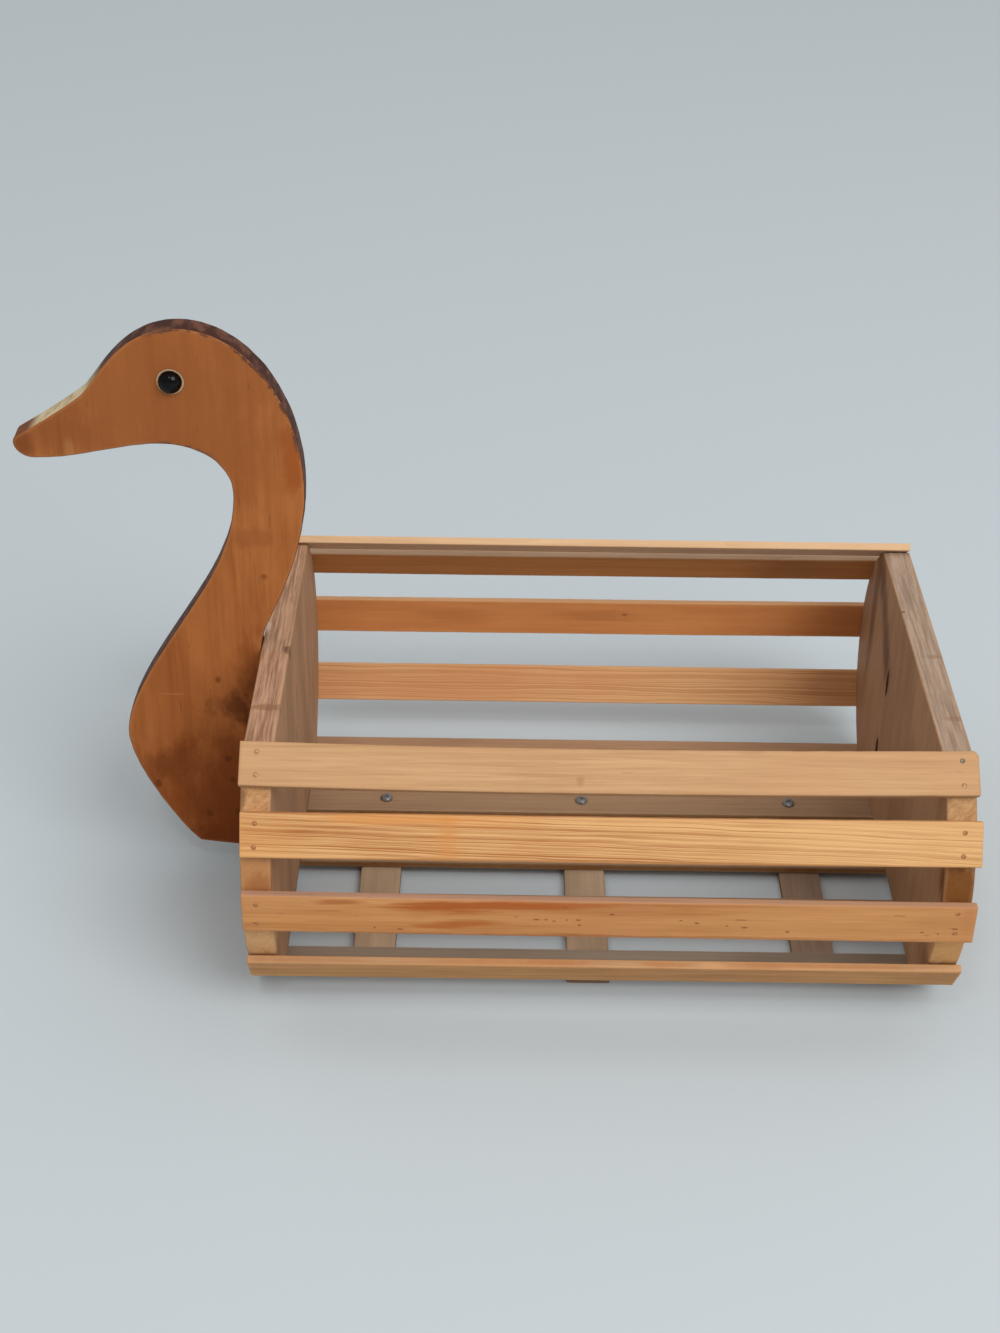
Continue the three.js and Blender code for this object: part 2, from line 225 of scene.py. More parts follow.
def growth(f, pith, spacing, lean, wobble, shift):
    """Late wood from 0 to 1, in growth rings of uneven width about a pith that runs beside the grain."""
    flat = f.vector("MULTIPLY", f.grain, (0, 1, 1))
    spoke = f.length(f.vector("SUBTRACT", flat, (0, pith[0], pith[1])))
    slow = f.cloud(f.grain, 16.0, (0.14, 1, 1), 2.0, 0.5, shift)
    radius = f.math("ADD", spoke, f.math("MULTIPLY", f.parts(f.grain)[0], lean))
    radius = f.math("ADD", radius, f.swing(slow, 2 * wobble))
    inputs = {"W": f.math("DIVIDE", radius, 2.2 * spacing), "Scale": 1.0, "Detail": 1.0}
    years = f.node("TexNoise", inputs, noise_dimensions="1D").outputs[0]
    phase = f.math("ADD", f.math("DIVIDE", radius, spacing), f.swing(years, 1.5))
    saw = f.math("FRACT", phase)
    late = f.math("MULTIPLY", f.between(saw, 0.2, 0.75), f.between(saw, 1.0, 0.92))
    vary = f.node("TexWhiteNoise", {"W": f.math("FLOOR", phase)}, noise_dimensions="1D").outputs["Value"]
    return f.math("MULTIPLY", late, f.between(vary, 0.0, 1.0, 0.5, 1.0))


def mark(f, colour, place, tone, amount=0.8, soft=0.4, fray=0.6):
    """A stain, streak or patch of painted shade or light: an oval of (x, y, z, half x, half y, half z),
    frayed by the piece's raggedness.
    """
    away = f.vector("SUBTRACT", f.place, place[:3])
    reach = f.length(f.vector("DIVIDE", away, place[3:]))
    reach = f.math("ADD", reach, f.math("MULTIPLY", f.ragged, fray))
    return f.blend(f.between(reach, 1 + soft, 1 - soft, 0.0, amount), colour, tone)


def wood(name, light, dark, turn=(0, 0, 0), pith=(60, 14), spacing=4.0, line=0.3, lean=0.0, wobble=1.5,
         fibre=0.25, streak=0.3, mottle=0.3, patch=None, specks=0.0, marks=(), faces=(), under=None,
         over=None, edge=None, fray=(5.0, 0.08), seed=0, rough=(0.5, 0.66), gloss=0.2, bump=0.2):
    """Solid wood: growth rings, fibres, streaks and soft blotches, then stains, knots and patches of painted
    shade or light, and wear on the arrises.
    """
    f = Finish(name)
    shift = (seed * 37.1, seed * 13.7, seed * 5.3)

    def shifted(by):
        return [s + by for s in shift]

    f.grain = f.turned(f.place, turn)
    late = growth(f, pith, spacing, lean, wobble, shift)
    threads = f.cloud(f.grain, 0.9, (0.02, 1, 1), 4.0, 0.65, shift)
    streaks = f.cloud(f.grain, 4.5, (0.035, 1, 1), 4.0, 0.6, shifted(7))
    broad = f.cloud(f.grain, 36.0, (0.3, 1, 1), 4.0, 0.6, shifted(31))
    tone = f.math("MULTIPLY_ADD", late, line)
    tone.node.inputs[2].default_value = 0.45 - 0.4 * line
    for part, amount in ((threads, fibre), (streaks, streak), (broad, mottle)):
        tone = f.math("ADD", tone, f.swing(part, amount))
    f.tone = f.clamp(tone)
    colour = f.blend(f.tone, light, dark)
    if patch:
        warm = f.cloud(f.grain, 70.0, (0.4, 1, 1), 3.0, 0.55, shifted(50))
        colour = f.blend(f.between(warm, 0.45, 0.65, 0.0, patch[1]), colour, patch[0])
    across = f.normal()
    for axis, face_light, face_dark in faces:
        colour = f.blend(f.between(across[axis], 0.6, 0.9), colour, f.blend(f.tone, face_light, face_dark))
    if under:
        colour = under(f, colour, across)
    f.ragged = f.swing(f.cloud(f.grain, fray[0], (fray[1], 1, 1), 5.0, 0.65, shifted(90)), 2.0)
    # Marks: stains, knots and streaks, and some patches of painted shade or painted light
    for stain in marks:
        colour = mark(f, colour, *stain)
    if specks:
        dashes = f.cloud(f.grain, 2.6, (0.16, 1, 1), 1.0, 0.4, shifted(20))
        colour = f.blend(f.between(dashes, 0.74, 0.8, 0.0, specks), colour, [0.45 * c for c in dark])
    if edge:
        worn = f.cloud(f.place, 7.0, (1, 1, 1), 4.0, 0.65)
        rub = f.math("ADD", f.attribute("edge"), f.math("SUBTRACT", worn, 0.5))
        colour = f.blend(f.between(rub, 0.45, 1.05, 0.0, edge[1]), colour, edge[0])
    if over:
        colour = over(f, colour, across)
    f.feed(f.shader.inputs["Base Color"], colour)
    f.feed(f.shader.inputs["Roughness"], f.between(threads, 0.25, 0.75, rough[0], rough[1]))
    f.shader.inputs["Specular IOR Level"].default_value = gloss
    relief = f.math("ADD", f.math("MULTIPLY", threads, 0.7), f.math("MULTIPLY", late, -0.4 * line))
    bumped = f.node("Bump", {"Height": relief, "Strength": bump, "Distance": 0.5 * MM})
    f.feed(f.shader.inputs["Normal"], bumped.outputs[0])
    return f.material


def metal(name, base, tarnish, rough, metallic):
    """Dull metal with cloudy tarnish."""
    f = Finish(name)
    cloudy = f.cloud(f.place, 1.6, (1, 1, 1), 4.0, 0.6)
    f.feed(f.shader.inputs["Base Color"], f.blend(f.between(cloudy, 0.35, 0.7, 0.0, TARNISH), base, tarnish))
    f.feed(f.shader.inputs["Roughness"], f.between(cloudy, 0.3, 0.7, rough, rough + 0.22))
    f.shader.inputs["Metallic"].default_value = metallic
    return f.material


def gloss_black(name):
    """A glossy black dome with a trace of brown and of fine dust."""
    f = Finish(name)
    dust = f.cloud(f.place, 0.8, (1, 1, 1), 3.0, 0.6)
    f.feed(f.shader.inputs["Base Color"], f.blend(f.between(dust, 0.45, 0.8), (4, 2, 2), (14, 8, 7)))
    f.feed(f.shader.inputs["Roughness"], f.between(dust, 0.3, 0.8, 0.05, 0.15))
    f.shader.inputs["Specular IOR Level"].default_value = 0.2
    return f.material


def plain_floor(name):
    material = bpy.data.materials.new(name)
    material.use_nodes = True
    shader = next(n for n in material.node_tree.nodes if n.type == "BSDF_PRINCIPLED")
    shader.inputs["Base Color"].default_value = linear(FLOOR_COLOUR)
    shader.inputs["Roughness"].default_value = 0.9
    shader.inputs["Specular IOR Level"].default_value = 0.1
    return material


def add_object(name, data):
    made = bpy.data.objects.new(name, data)
    bpy.context.scene.collection.objects.link(made)
    return made


def place_piece(bm, name, seat, material, nodes=()):
    """Makes a named piece of the mesh, seats it, gives it its finish, and hides the parts that it stands for.
    """
    bmesh.ops.recalc_face_normals(bm, faces=bm.faces)
    mesh = bpy.data.meshes.new(name)
    bm.to_mesh(mesh)
    bm.free()
    mesh.materials.append(material)
    for face in mesh.polygons:
        face.use_smooth = True
    piece = add_object(name, mesh)
    piece.matrix_world = seat
    if nodes:
        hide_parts(*nodes)
    return piece


def settle(piece, modifier):
    """Applies a modifier to the piece's mesh."""
    bpy.context.view_layer.update()
    shape = piece.evaluated_get(bpy.context.evaluated_depsgraph_get())
    mesh = bpy.data.meshes.new_from_object(shape)
    piece.modifiers.remove(modifier)
    old = piece.data
    piece.data = mesh
    mesh.name = old.name
    bpy.data.meshes.remove(old)


def carve(piece, bm, seat):
    """Cuts a shape away from a piece."""
    mesh = bpy.data.meshes.new("cutter")
    bmesh.ops.recalc_face_normals(bm, faces=bm.faces)
    bm.to_mesh(mesh)
    bm.free()
    cutter = add_object("cutter", mesh)
    cutter.matrix_world = seat
    cut = piece.modifiers.new("cut", "BOOLEAN")
    cut.operation = "DIFFERENCE"
    cut.solver = "MANIFOLD"
    cut.object = cutter
    settle(piece, cut)
    bpy.data.objects.remove(cutter)
    bpy.data.meshes.remove(mesh)


def weld(piece):
    """Closes the slivers that a cut leaves."""
    bm = bmesh.new()
    bm.from_mesh(piece.data)
    bmesh.ops.dissolve_degenerate(bm, dist=SLIVER * MM, edges=bm.edges)
    bm.to_mesh(piece.data)
    bm.free()


def finish_piece(piece):
    """Keeps wide faces flat, rounds only the arrises in the shading, and rides the piece on the basket."""
    for face in piece.data.polygons:
        face.use_smooth = True
    even = piece.modifiers.new("even", "WEIGHTED_NORMAL")
    even.weight = 80
    settle(piece, even)
    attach(piece, "root")


def sway(x, seed, size):
    """A slow irregular drift along a length."""
    return size * noise.noise(Vector((x * 7.0, seed * 3.7, 1.3)))


def quarter(step):
    """The angle of a step round an eased arris."""
    return math.radians(90 * step / ARRIS_STEPS)


def strip_section(width, thickness):
    """Points (y, z, wear) round a strip's section with eased arrises."""
    half_w, half_t, r = width / 2, thickness / 2, STRIP_ARRIS * MM
    near = [d * MM for d, wear in WEAR_RINGS]
    across = [half_w - r - near[0], half_w - r - near[1], 0.35 * half_w, 0.0]
    across += [-a for a in reversed(across[:-1])]
    rub = WEAR_RINGS[0][1]
    wears = [rub, 0.0, 0.0, 0.0, 0.0, 0.0, rub]
    ring = []
    for corner, (sy, sz) in enumerate(((1, 1), (-1, 1), (-1, -1), (1, -1))):
        for step in range(ARRIS_STEPS + 1):
            angle = math.radians(90 * corner + 90 * step / ARRIS_STEPS)
            y = sy * (half_w - r) + r * math.cos(angle)
            ring.append((y, sz * (half_t - r) + r * math.sin(angle), 1.0))
        if corner % 2 == 0:
            ring += [(sy * a, sz * half_t, wear) for a, wear in zip(across, wears)]
        else:
            ring.append((sy * half_w, 0.0, 0.5))
    return ring


def strip_stations(length, count):
    """Stations (x, inset, wear) along a strip, from rounded end to rounded end."""
    half, r = length / 2, STRIP_ARRIS * MM
    right = []
    for step in range(ARRIS_STEPS + 1):
        angle = quarter(step)
        right.append((half - r + r * math.sin(angle), r - r * math.cos(angle), 1.0))
    near = [(half - r - d * MM, 0.0, wear) for d, wear in reversed(WEAR_RINGS)]
    reach = near[0][0] - 4 * MM
    middle = [(-reach + 2 * reach * i / count, 0.0, 0.0) for i in range(count + 1)]
    right = near + right
    return [(-x, inset, wear) for x, inset, wear in reversed(right)] + middle + right


def skin(bm, rows):
    """Joins closed rows of points into one solid."""
    for near, far in zip(rows, rows[1:]):
        for i in range(len(near)):
            bm.faces.new((near[i], near[i - 1], far[i - 1], far[i]))
    bm.faces.new(rows[0])
    bm.faces.new(rows[-1])


def strip(node, length, width, seat, material, bow=0.0, skew=(0, 0), drift=STRIP_DRIFT, seed=0,
          count=STRIP_STEPS):
    """One lattice strip: length along X, width along Y with its bow and skew, outer face towards +Z."""
    thickness = STRIP_THICKNESS * MM
    ring = strip_section(width, thickness)
    bm = bmesh.new()
    layer = bm.verts.layers.float.new("edge")
    rows = []
    for x, inset, end_wear in strip_stations(length, count):
        share = 2 * x / length
        rise = (bow * (1 - share ** 2) + skew[0] + skew[1] * share) * MM + sway(x, seed, drift[0] * MM)
        swell = sway(x, seed + 0.5, drift[1] * MM)
        squeeze_y = 1 - 2 * inset / width
        squeeze_z = 1 - 2 * inset / thickness
        row = []
        for y, z, wear in ring:
            nick = wear * STRIP_NICKS * MM * noise.noise(Vector((x * 130, y * 90 + seed, z * 200)))
            outwards = z * squeeze_z + swell - abs(nick) * (z > 0)
            vert = bm.verts.new((x, y * squeeze_y + rise + nick, outwards))
            vert[layer] = max(wear, end_wear)
            row.append(vert)
        rows.append(row)
    skin(bm, rows)
    return place_piece(bm, node + "_wood", seat, material, [node])


def inward(points, distance):
    """A closed outline moved inwards by a distance, with its corners mitred."""
    moved = []
    for i, here in enumerate(points):
        before = (here - points[i - 1]).normalized()
        after = (points[(i + 1) % len(points)] - here).normalized()
        turn = (before + after).normalized()
        side = Vector((-turn.y, turn.x))
        across = max(0.5, side.dot(Vector((-before.y, before.x))))
        moved.append(here + side * (distance / across))
    return moved


def slab(node, outline, thickness, arris, lay, material, dents):
    """A flat board of an anticlockwise outline, with eased arrises. lay turns (u, v, depth) to a place."""
    r = arris * MM
    rings = [(r + d * MM, 0.0, wear) for d, wear in reversed(WEAR_RINGS)]
    for step in range(ARRIS_STEPS + 1):
        angle = quarter(step)
        rings.append((r - r * math.sin(angle), r - r * math.cos(angle), 1.0))
    rings.append((0.0, r + EDGE_RING * MM, WEAR_RINGS[0][1]))
    rings += [(inset, thickness - depth, wear) for inset, depth, wear in reversed(rings)]
    bm = bmesh.new()
    layer = bm.verts.layers.float.new("edge")
    rows = []
    for inset, depth, wear in rings:
        row = []
        for point in inward(outline, inset):
            dent = dents * MM * noise.noise(Vector((point.x * 160, point.y * 160, depth * 300)))
            dent *= 1.0 if wear else 0.0
            vert = bm.verts.new(lay(point.x + dent, point.y + dent, depth))
            vert[layer] = wear
            row.append(vert)
        rows.append(row)
    skin(bm, rows)
    return place_piece(bm, node + "_wood", Matrix(), material, [node])


def lathe(profile, sides):
    """A round shape about Z of (radius, height) points, from the axis below to the axis above."""
    bm = bmesh.new()
    rows = []
    turns = [2 * math.pi * i / sides for i in range(sides)]
    for radius, height in profile:
        if radius == 0:
            rows.append([bm.verts.new((0, 0, height * MM))])
            continue
        r = radius * MM
        rows.append([bm.verts.new((r * math.cos(t), r * math.sin(t), height * MM)) for t in turns])
    for low, high in zip(rows, rows[1:]):
        for i in range(sides):
            j = i + 1
            ring = [low[i % len(low)], low[j % len(low)], high[j % len(high)], high[i % len(high)]]
            bm.faces.new(list(dict.fromkeys(ring)))
    return bm


def arc(centre, radius, start, end, count):
    """Points along an arc, angles in degrees."""
    turns = [math.radians(start + (end - start) * i / count) for i in range(count + 1)]
    return [Vector((centre[0] + radius * math.cos(t), centre[1] + radius * math.sin(t))) for t in turns]


def bezier(points, count):
    """Points along a curve of three or four control points, without its first one."""
    out = []
    for i in range(1, count + 1):
        t = i / count
        level = [Vector(p) for p in points]
        while len(level) > 1:
            level = [a.lerp(b, t) for a, b in zip(level, level[1:])]
        out.append(level[0])
    return out


def bowed_edge():
    """Radius and centre of the arc that a panel's back edge follows."""
    half_z = PANEL_HEIGHT / 2
    radius = (half_z ** 2 + EDGE_BULGE ** 2) / (2 * EDGE_BULGE)
    return radius, PANEL_DEPTH / 2 - radius, PANEL_FOOT + half_z


def panel_outline():
    """The end panel seen from the side: flat top and foot, and bowed front and back edges."""
    radius, centre_y, middle = bowed_edge()
    corner = math.degrees(math.asin(PANEL_HEIGHT / 2 / radius))
    round_steps, flat_steps = 64, 24
    back = arc((centre_y, middle), radius, -corner, corner, round_steps)
    front = arc((-centre_y, middle), radius, 180 - corner, 180 + corner, round_steps)
    top = [back[-1].lerp(front[0], i / flat_steps) for i in range(1, flat_steps)]
    foot = [front[-1].lerp(back[0], i / flat_steps) for i in range(1, flat_steps)]
    return [p * MM for p in back + top + front + foot]


def goose_seat():
    """Where the goose meets the left panel, in millimetres."""
    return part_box("left_end_panel")[0].x / MM


def goose_outline():
    """The goose seen from the front, anticlockwise from its rear foot, from its seat on the left panel."""
    face = goose_seat()
    low, high = PANEL_FOOT, PANEL_FOOT + PANEL_HEIGHT
    curve_steps = 26

    def at(x, z):
        return (face + x, z)

    foot = at(-0.3, low + 5.1)
    nape = at(-0.3, high + 2)
    shoulder = at(3.3, high + 15)
    curves = (
        (shoulder, at(16, high + 42), at(35, high + 82), at(33, high + 127)),
        (at(33, high + 127), at(31.5, high + 182), at(0, high + 229), at(-41, high + 229)),
        (at(-41, high + 229), at(-77, high + 229), at(-93, high + 193), at(-103.5, high + 183.5)),
        (at(-103.5, high + 183.5), at(-119, high + 171.3), at(-147, high + 154.3)),
        (at(-147, high + 154.3), at(-152.2, high + 149.5), at(-147.5, high + 139.2), at(-136, high + 139.2)),
        (at(-136, high + 139.2), at(-105, high + 139.2), at(-83, high + 150), at(-55.7, high + 150)),
        (at(-55.7, high + 150), at(-30, high + 150), at(-12.6, high + 135), at(-12.6, high + 115)),
        (at(-12.6, high + 115), at(-12.6, high + 92), at(-23.4, high + 64), at(-39.6, high + 38.5)),
        (at(-39.6, high + 38.5), at(-61, high + 2.7), at(-95.7, low + 135), at(-95.7, low + 104)),
        (at(-95.7, low + 104), at(-95.7, low + 79), at(-68, low + 28.5), at(-52.2, low + 12)),
    )
    points = [Vector(foot).lerp(Vector(nape), i / 18) for i in range(19)]
    points += [Vector(nape).lerp(Vector(shoulder), i / 4) for i in range(1, 5)]
    for curve in curves:
        points += bezier(curve, curve_steps)
    breast = points[-1]
    points += [breast.lerp(Vector(foot), i / 5) for i in range(1, 5)]
    return [p * MM for p in points]


def outside(x, y, half_x, half_y, *look):
    """A mark on a slat's outer face."""
    return ((x, y, 2, half_x, half_y, 9), *look)


def inside(x, y, half_x, half_y, *look):
    """A mark on a slat's inner face."""
    return ((x, y, -2, half_x, half_y, 9), *look)


def on_top(x, half_x, half_y, half_z, *look):
    """A mark on a slat's upper edge."""
    return ((x, 14, 0, half_x, half_y, half_z), *look)


def flecks(places):
    """Small dark flecks on a slat's outer face at (x, y) places, some long and some short."""
    sizes = (1.9, 1.0, 1.4, 0.8)
    look = ((120, 62, 30), 0.75, 0.5, 0.4)
    return tuple(((x, y, 2.7, sizes[i % 4], 0.6, 3), *look) for i, (x, y) in enumerate(places))


# Finishes of the slats, from the tones that each one shows; some marks are painted shade under a lower arris
# and towards the right ends of the back slats
SLAT_FINISHES = {
    "front_top": dict(
        light=(214, 170, 123), dark=(185, 140, 96), pith=(70, 12), spacing=3.0, line=0.2, lean=0.004,
        fibre=0.6, streak=0.6, mottle=0.3, patch=((198, 148, 104), 0.4), specks=0.15, seed=1,
        edge=((186, 142, 100), 0.4), faces=((1, (196, 150, 106), (164, 118, 78)),),
        marks=(outside(-18, -9, 2.0, 2.8, (170, 118, 76), 0.45, 0.6),
               outside(87, 11, 7, 2.0, (180, 126, 84), 0.4, 0.7))),
    "front_upper": dict(
        light=(232, 180, 121), dark=(174, 108, 58), pith=(96, 8), spacing=2.0, line=0.75, lean=-0.028,
        wobble=1.1, fibre=0.4, streak=0.4, mottle=0.25, patch=((222, 158, 92), 0.4), seed=2,
        edge=((216, 160, 106), 0.35), faces=((1, (206, 146, 92), (176, 112, 62)),),
        marks=(outside(-112, 11.5, 56, 4.0, (224, 150, 80), 0.7, 0.6, 0.6),
               outside(-101, 2, 5.5, 24, (216, 142, 74), 0.55, 0.9, 0.7),
               outside(180, 0, 105, 30, (242, 196, 136), 0.3, 0.7, 0.3),
               # painted shade: a dark band along the lower arris, standing for the shade under the slat
               ((0, -14.2, 2, 240, 1.2, 3), (146, 82, 30), 0.75, 0.4, 0.1))),
    "front_lower": dict(
        light=(221, 158, 98), dark=(177, 111, 58), pith=(30, -46), spacing=9.0, line=0.2, lean=0.01,
        fibre=0.4, streak=0.45, mottle=0.35, patch=((206, 142, 92), 0.5), specks=0.4, seed=3,
        edge=((196, 140, 98), 0.4), faces=((1, (190, 148, 122), (160, 120, 98)),),
        marks=(outside(-108, 7.0, 36, 3.2, (176, 92, 36), 0.9, 0.5, 0.6),
               outside(-78, 9.2, 44, 3.2, (176, 92, 36), 0.9, 0.5, 0.6),
               outside(-30, 11.0, 50, 1.8, (180, 94, 40), 0.7, 0.5, 0.6),
               outside(54, 11.8, 60, 1.1, (172, 100, 50), 0.6, 0.5, 0.6),
               outside(-104, -7.5, 18, 2.4, (180, 98, 42), 0.8, 0.5, 0.6),
               outside(-84, -4.5, 22, 2.2, (180, 98, 42), 0.8, 0.5, 0.6),
               outside(-168, 11, 14, 1.8, (168, 94, 46), 0.7, 0.5, 0.6),
               outside(-176, 4, 10, 0.8, (176, 108, 60), 0.5, 0.5, 0.6),
               # a darker band along the lower arris
               ((0, -14.0, 2, 240, 1.3, 4), (150, 84, 38), 0.7, 0.5, 0.9),
               outside(224, 3, 5, 12, (176, 104, 62), 0.4, 0.7, 0.6),
               outside(205, 2, 16, 6, (168, 110, 66), 0.2, 0.7, 0.6),
               outside(150, 0, 110, 30, (220, 164, 106), 0.25, 0.7, 0.3))
        + flecks(((-45, -1), (-39, -1), (-34, -2), (-26, -1), (-19, -1), (-18, -5), (2, 4), (-146, -9),
                  (-130, -10), (45, 0), (55, -2), (74, -4), (85, -5), (112, -8), (196, -7), (206, -8),
                  (216, -4)))),
    "front_bottom": dict(
        light=(217, 159, 98), dark=(166, 109, 60), pith=(26, -40), spacing=7.0, line=0.2, lean=0.006,
        fibre=0.4, streak=0.55, mottle=0.45, patch=((190, 130, 78), 0.5), seed=4,
        edge=((208, 156, 106), 0.4), faces=((1, (212, 167, 123), (178, 128, 86)),),
        marks=(outside(80, 0, 22, 4, (170, 112, 66), 0.4, 0.5, 0.7),
               on_top(-60, 44, 3, 3, (196, 120, 64), 0.5, 0.7, 0.7),
               on_top(120, 60, 3, 3, (198, 122, 66), 0.5, 0.7, 0.7),
               on_top(-206, 46, 4, 4, (182, 130, 88), 0.8, 0.7, 0.5),
               on_top(-25, 12, 3, 4, (186, 124, 78), 0.6, 0.6, 0.7),
               on_top(37, 16, 3, 4, (188, 122, 68), 0.7, 0.6, 0.7),
               on_top(69, 9, 2.4, 4, (226, 172, 120), 0.5, 0.6, 0.7),
               on_top(102, 14, 3, 4, (184, 124, 74), 0.6, 0.6, 0.7))),
    "back_top": dict(
        light=(230, 202, 170), dark=(198, 166, 134), pith=(60, 20), spacing=3.6, line=0.3, lean=0.004,
        streak=0.35, seed=5, edge=((226, 180, 136), 0.5), faces=((1, (238, 199, 156), (211, 167, 123)),)),
    "back_upper": dict(
        light=(210, 148, 90), dark=(178, 118, 66), pith=(36, 34), spacing=6.0, line=0.15, lean=0.005,
        streak=0.4, mottle=0.35, patch=((168, 116, 68), 0.5), seed=6,
        edge=((194, 156, 120), 0.5), faces=((1, (206, 176, 148), (160, 128, 102)),),
        # painted shade: darker towards the right end of the inner face, where the right panel shades it
        marks=(inside(-150, 0, 30, 20, (104, 60, 30), 0.35, 0.7, 0.3),)),
    "back_lower": dict(
        light=(233, 159, 98), dark=(203, 127, 69), pith=(22, 40), spacing=9.0, line=0.15, lean=0.008,
        streak=0.35, mottle=0.4, patch=((192, 118, 64), 0.45), seed=7,
        edge=((222, 166, 112), 0.4), faces=((1, (222, 172, 128), (190, 138, 94)),),
        marks=(inside(100, 0, 24, 6, (184, 112, 60), 0.4, 0.7, 0.7),
               inside(-6, 2, 26, 5, (182, 110, 58), 0.4, 0.7, 0.7),
               inside(-27, 4, 2, 1.2, (120, 64, 32), 0.5),
               # painted shade: darker towards the right end of the inner face, where the right panel shades
               # it
               inside(-196, 0, 36, 20, (140, 82, 46), 0.35, 0.7, 0.3))),
    "back_bottom": dict(
        light=(233, 181, 128), dark=(200, 139, 86), pith=(80, 6), spacing=2.7, line=0.8, lean=0.006,
        streak=0.3, mottle=0.25, patch=((214, 146, 96), 0.5), seed=8,
        edge=((226, 174, 122), 0.4), faces=((1, (222, 174, 130), (192, 142, 98)),),
        # painted shade: darker towards the right end of the inner face, where the right panel shades it
        marks=(inside(-196, 0, 36, 20, (150, 98, 58), 0.4, 0.7, 0.3),)),
}

# Light and dark tones of the floor strips from front to back, and of the cross slats
FLOOR_TONES = (((172, 154, 134), (140, 124, 106)), ((172, 142, 112), (138, 110, 84)),
               ((168, 138, 110), (134, 106, 82)), ((178, 146, 114), (144, 112, 84)),
               ((198, 158, 124), (158, 120, 90)))
CROSS_TONES = {"left": ((214, 186, 154), (184, 156, 126)), "middle": ((202, 174, 144), (170, 144, 114)),
               "right": ((170, 144, 122), (134, 110, 92))}

# Light and dark tones of the panels' faces, and of their rims: bowed edges, then flat top
PANEL_TONES = {"left": ((196, 154, 118), (162, 122, 90)), "right": ((196, 152, 114), (160, 120, 88))}
PANEL_RIMS = {"left": ((216, 167, 117), (174, 122, 76), (198, 155, 124), (148, 109, 83)),
              "right": ((204, 160, 112), (162, 116, 73), (181, 155, 133), (148, 123, 104))}


def slat_finish(key):
    look = dict(SLAT_FINISHES[key])
    look["faces"] += ((0, (178, 130, 86), (140, 96, 60)),)
    return wood(key + "_slat_wood", **look)


def floor_finish(name, light, dark, seed):
    """Greyed, unvarnished strip."""
    faces = ((1, (156, 108, 62), (116, 78, 42)), (0, (120, 92, 68), (88, 64, 46)))
    return wood(name, light, dark, pith=(40 + 9 * seed, 18), spacing=5.0, line=0.15, lean=0.004, fibre=0.35,
                streak=0.35, mottle=0.35, patch=([0.86 * c for c in dark], 0.45), edge=((172, 146, 118), 0.3),
                faces=faces, seed=seed, rough=(0.62, 0.8), gloss=0.15)


def panel_rim(edge_light, edge_dark, top_light, top_dark):
    """Golden sawn wood on a panel's bowed edges, and weathered streaks along its flat top."""
    def paint(f, colour, across):
        rim = f.between(across[0], 0.6, 0.3)
        sawn = f.cloud(f.turned(f.place, (0, RIM_SLANT, 0)), 1.8, (0.2, 1, 1), 4.0, 0.65)
        tone = f.clamp(f.math("ADD", f.tone, f.swing(sawn, 0.8)))
        colour = f.blend(rim, colour, f.blend(tone, edge_light, edge_dark))
        streaks = f.cloud(f.place, 2.4, (1, 0.05, 1), 4.0, 0.65)
        weathered = f.blend(f.between(streaks, 0.35, 0.65), top_light, top_dark)
        return f.blend(f.between(across[2], 0.88, 0.97), colour, weathered)
    return paint


def panel_finish(name, light, dark, rim, seed, marks):
    """Weathered board with its grain upright."""
    return wood(name, light, dark, turn=UPRIGHT, pith=(60, -30), spacing=9.0, line=0.15, lean=0.02,
                fibre=0.3, streak=0.35, mottle=0.35, patch=([0.88 * c for c in dark], 0.5), marks=marks,
                under=panel_rim(*rim), edge=((186, 148, 114), 0.2), fray=(12.0, 0.25), seed=seed,
                rough=(0.6, 0.8), gloss=0.15, bump=0.3)


def goose_edges(f, colour, across):
    """The goose's sawn edge: dark, spilling over the crown's arris, and bare cream on top of the beak."""
    where = f.parts(f.place)
    sawn = f.between(across[1], 0.8, 0.5)
    scuff = f.cloud(f.place, 7.0, (1, 0.6, 1), 3.0, 0.6)
    rim = f.blend(f.between(scuff, 0.4, 0.65), (72, 44, 36), (110, 72, 57))
    rim = f.blend(f.between(where[0], -338, -352), rim, (124, 74, 44))
    crown = f.math("MULTIPLY", f.between(where[2], 318, 350), f.between(where[0], -300, -272))
    spill = f.between(f.math("ADD", f.attribute("edge"), f.swing(scuff, 1.1)), 0.45, 1.15)
    colour = f.blend(f.math("MAXIMUM", sawn, f.math("MULTIPLY", spill, crown)), colour, rim)
    beak = f.math("MULTIPLY", f.between(where[0], -314, -330), f.between(where[0], -368, -358))
    upper = f.math("MULTIPLY", beak, f.between(where[2], 338, 346))
    bare = f.math("MULTIPLY", f.math("MULTIPLY", upper, sawn), 0.92)
    return f.blend(bare, colour, f.blend(f.between(scuff, 0.4, 0.7), (222, 204, 164), (186, 162, 120)))


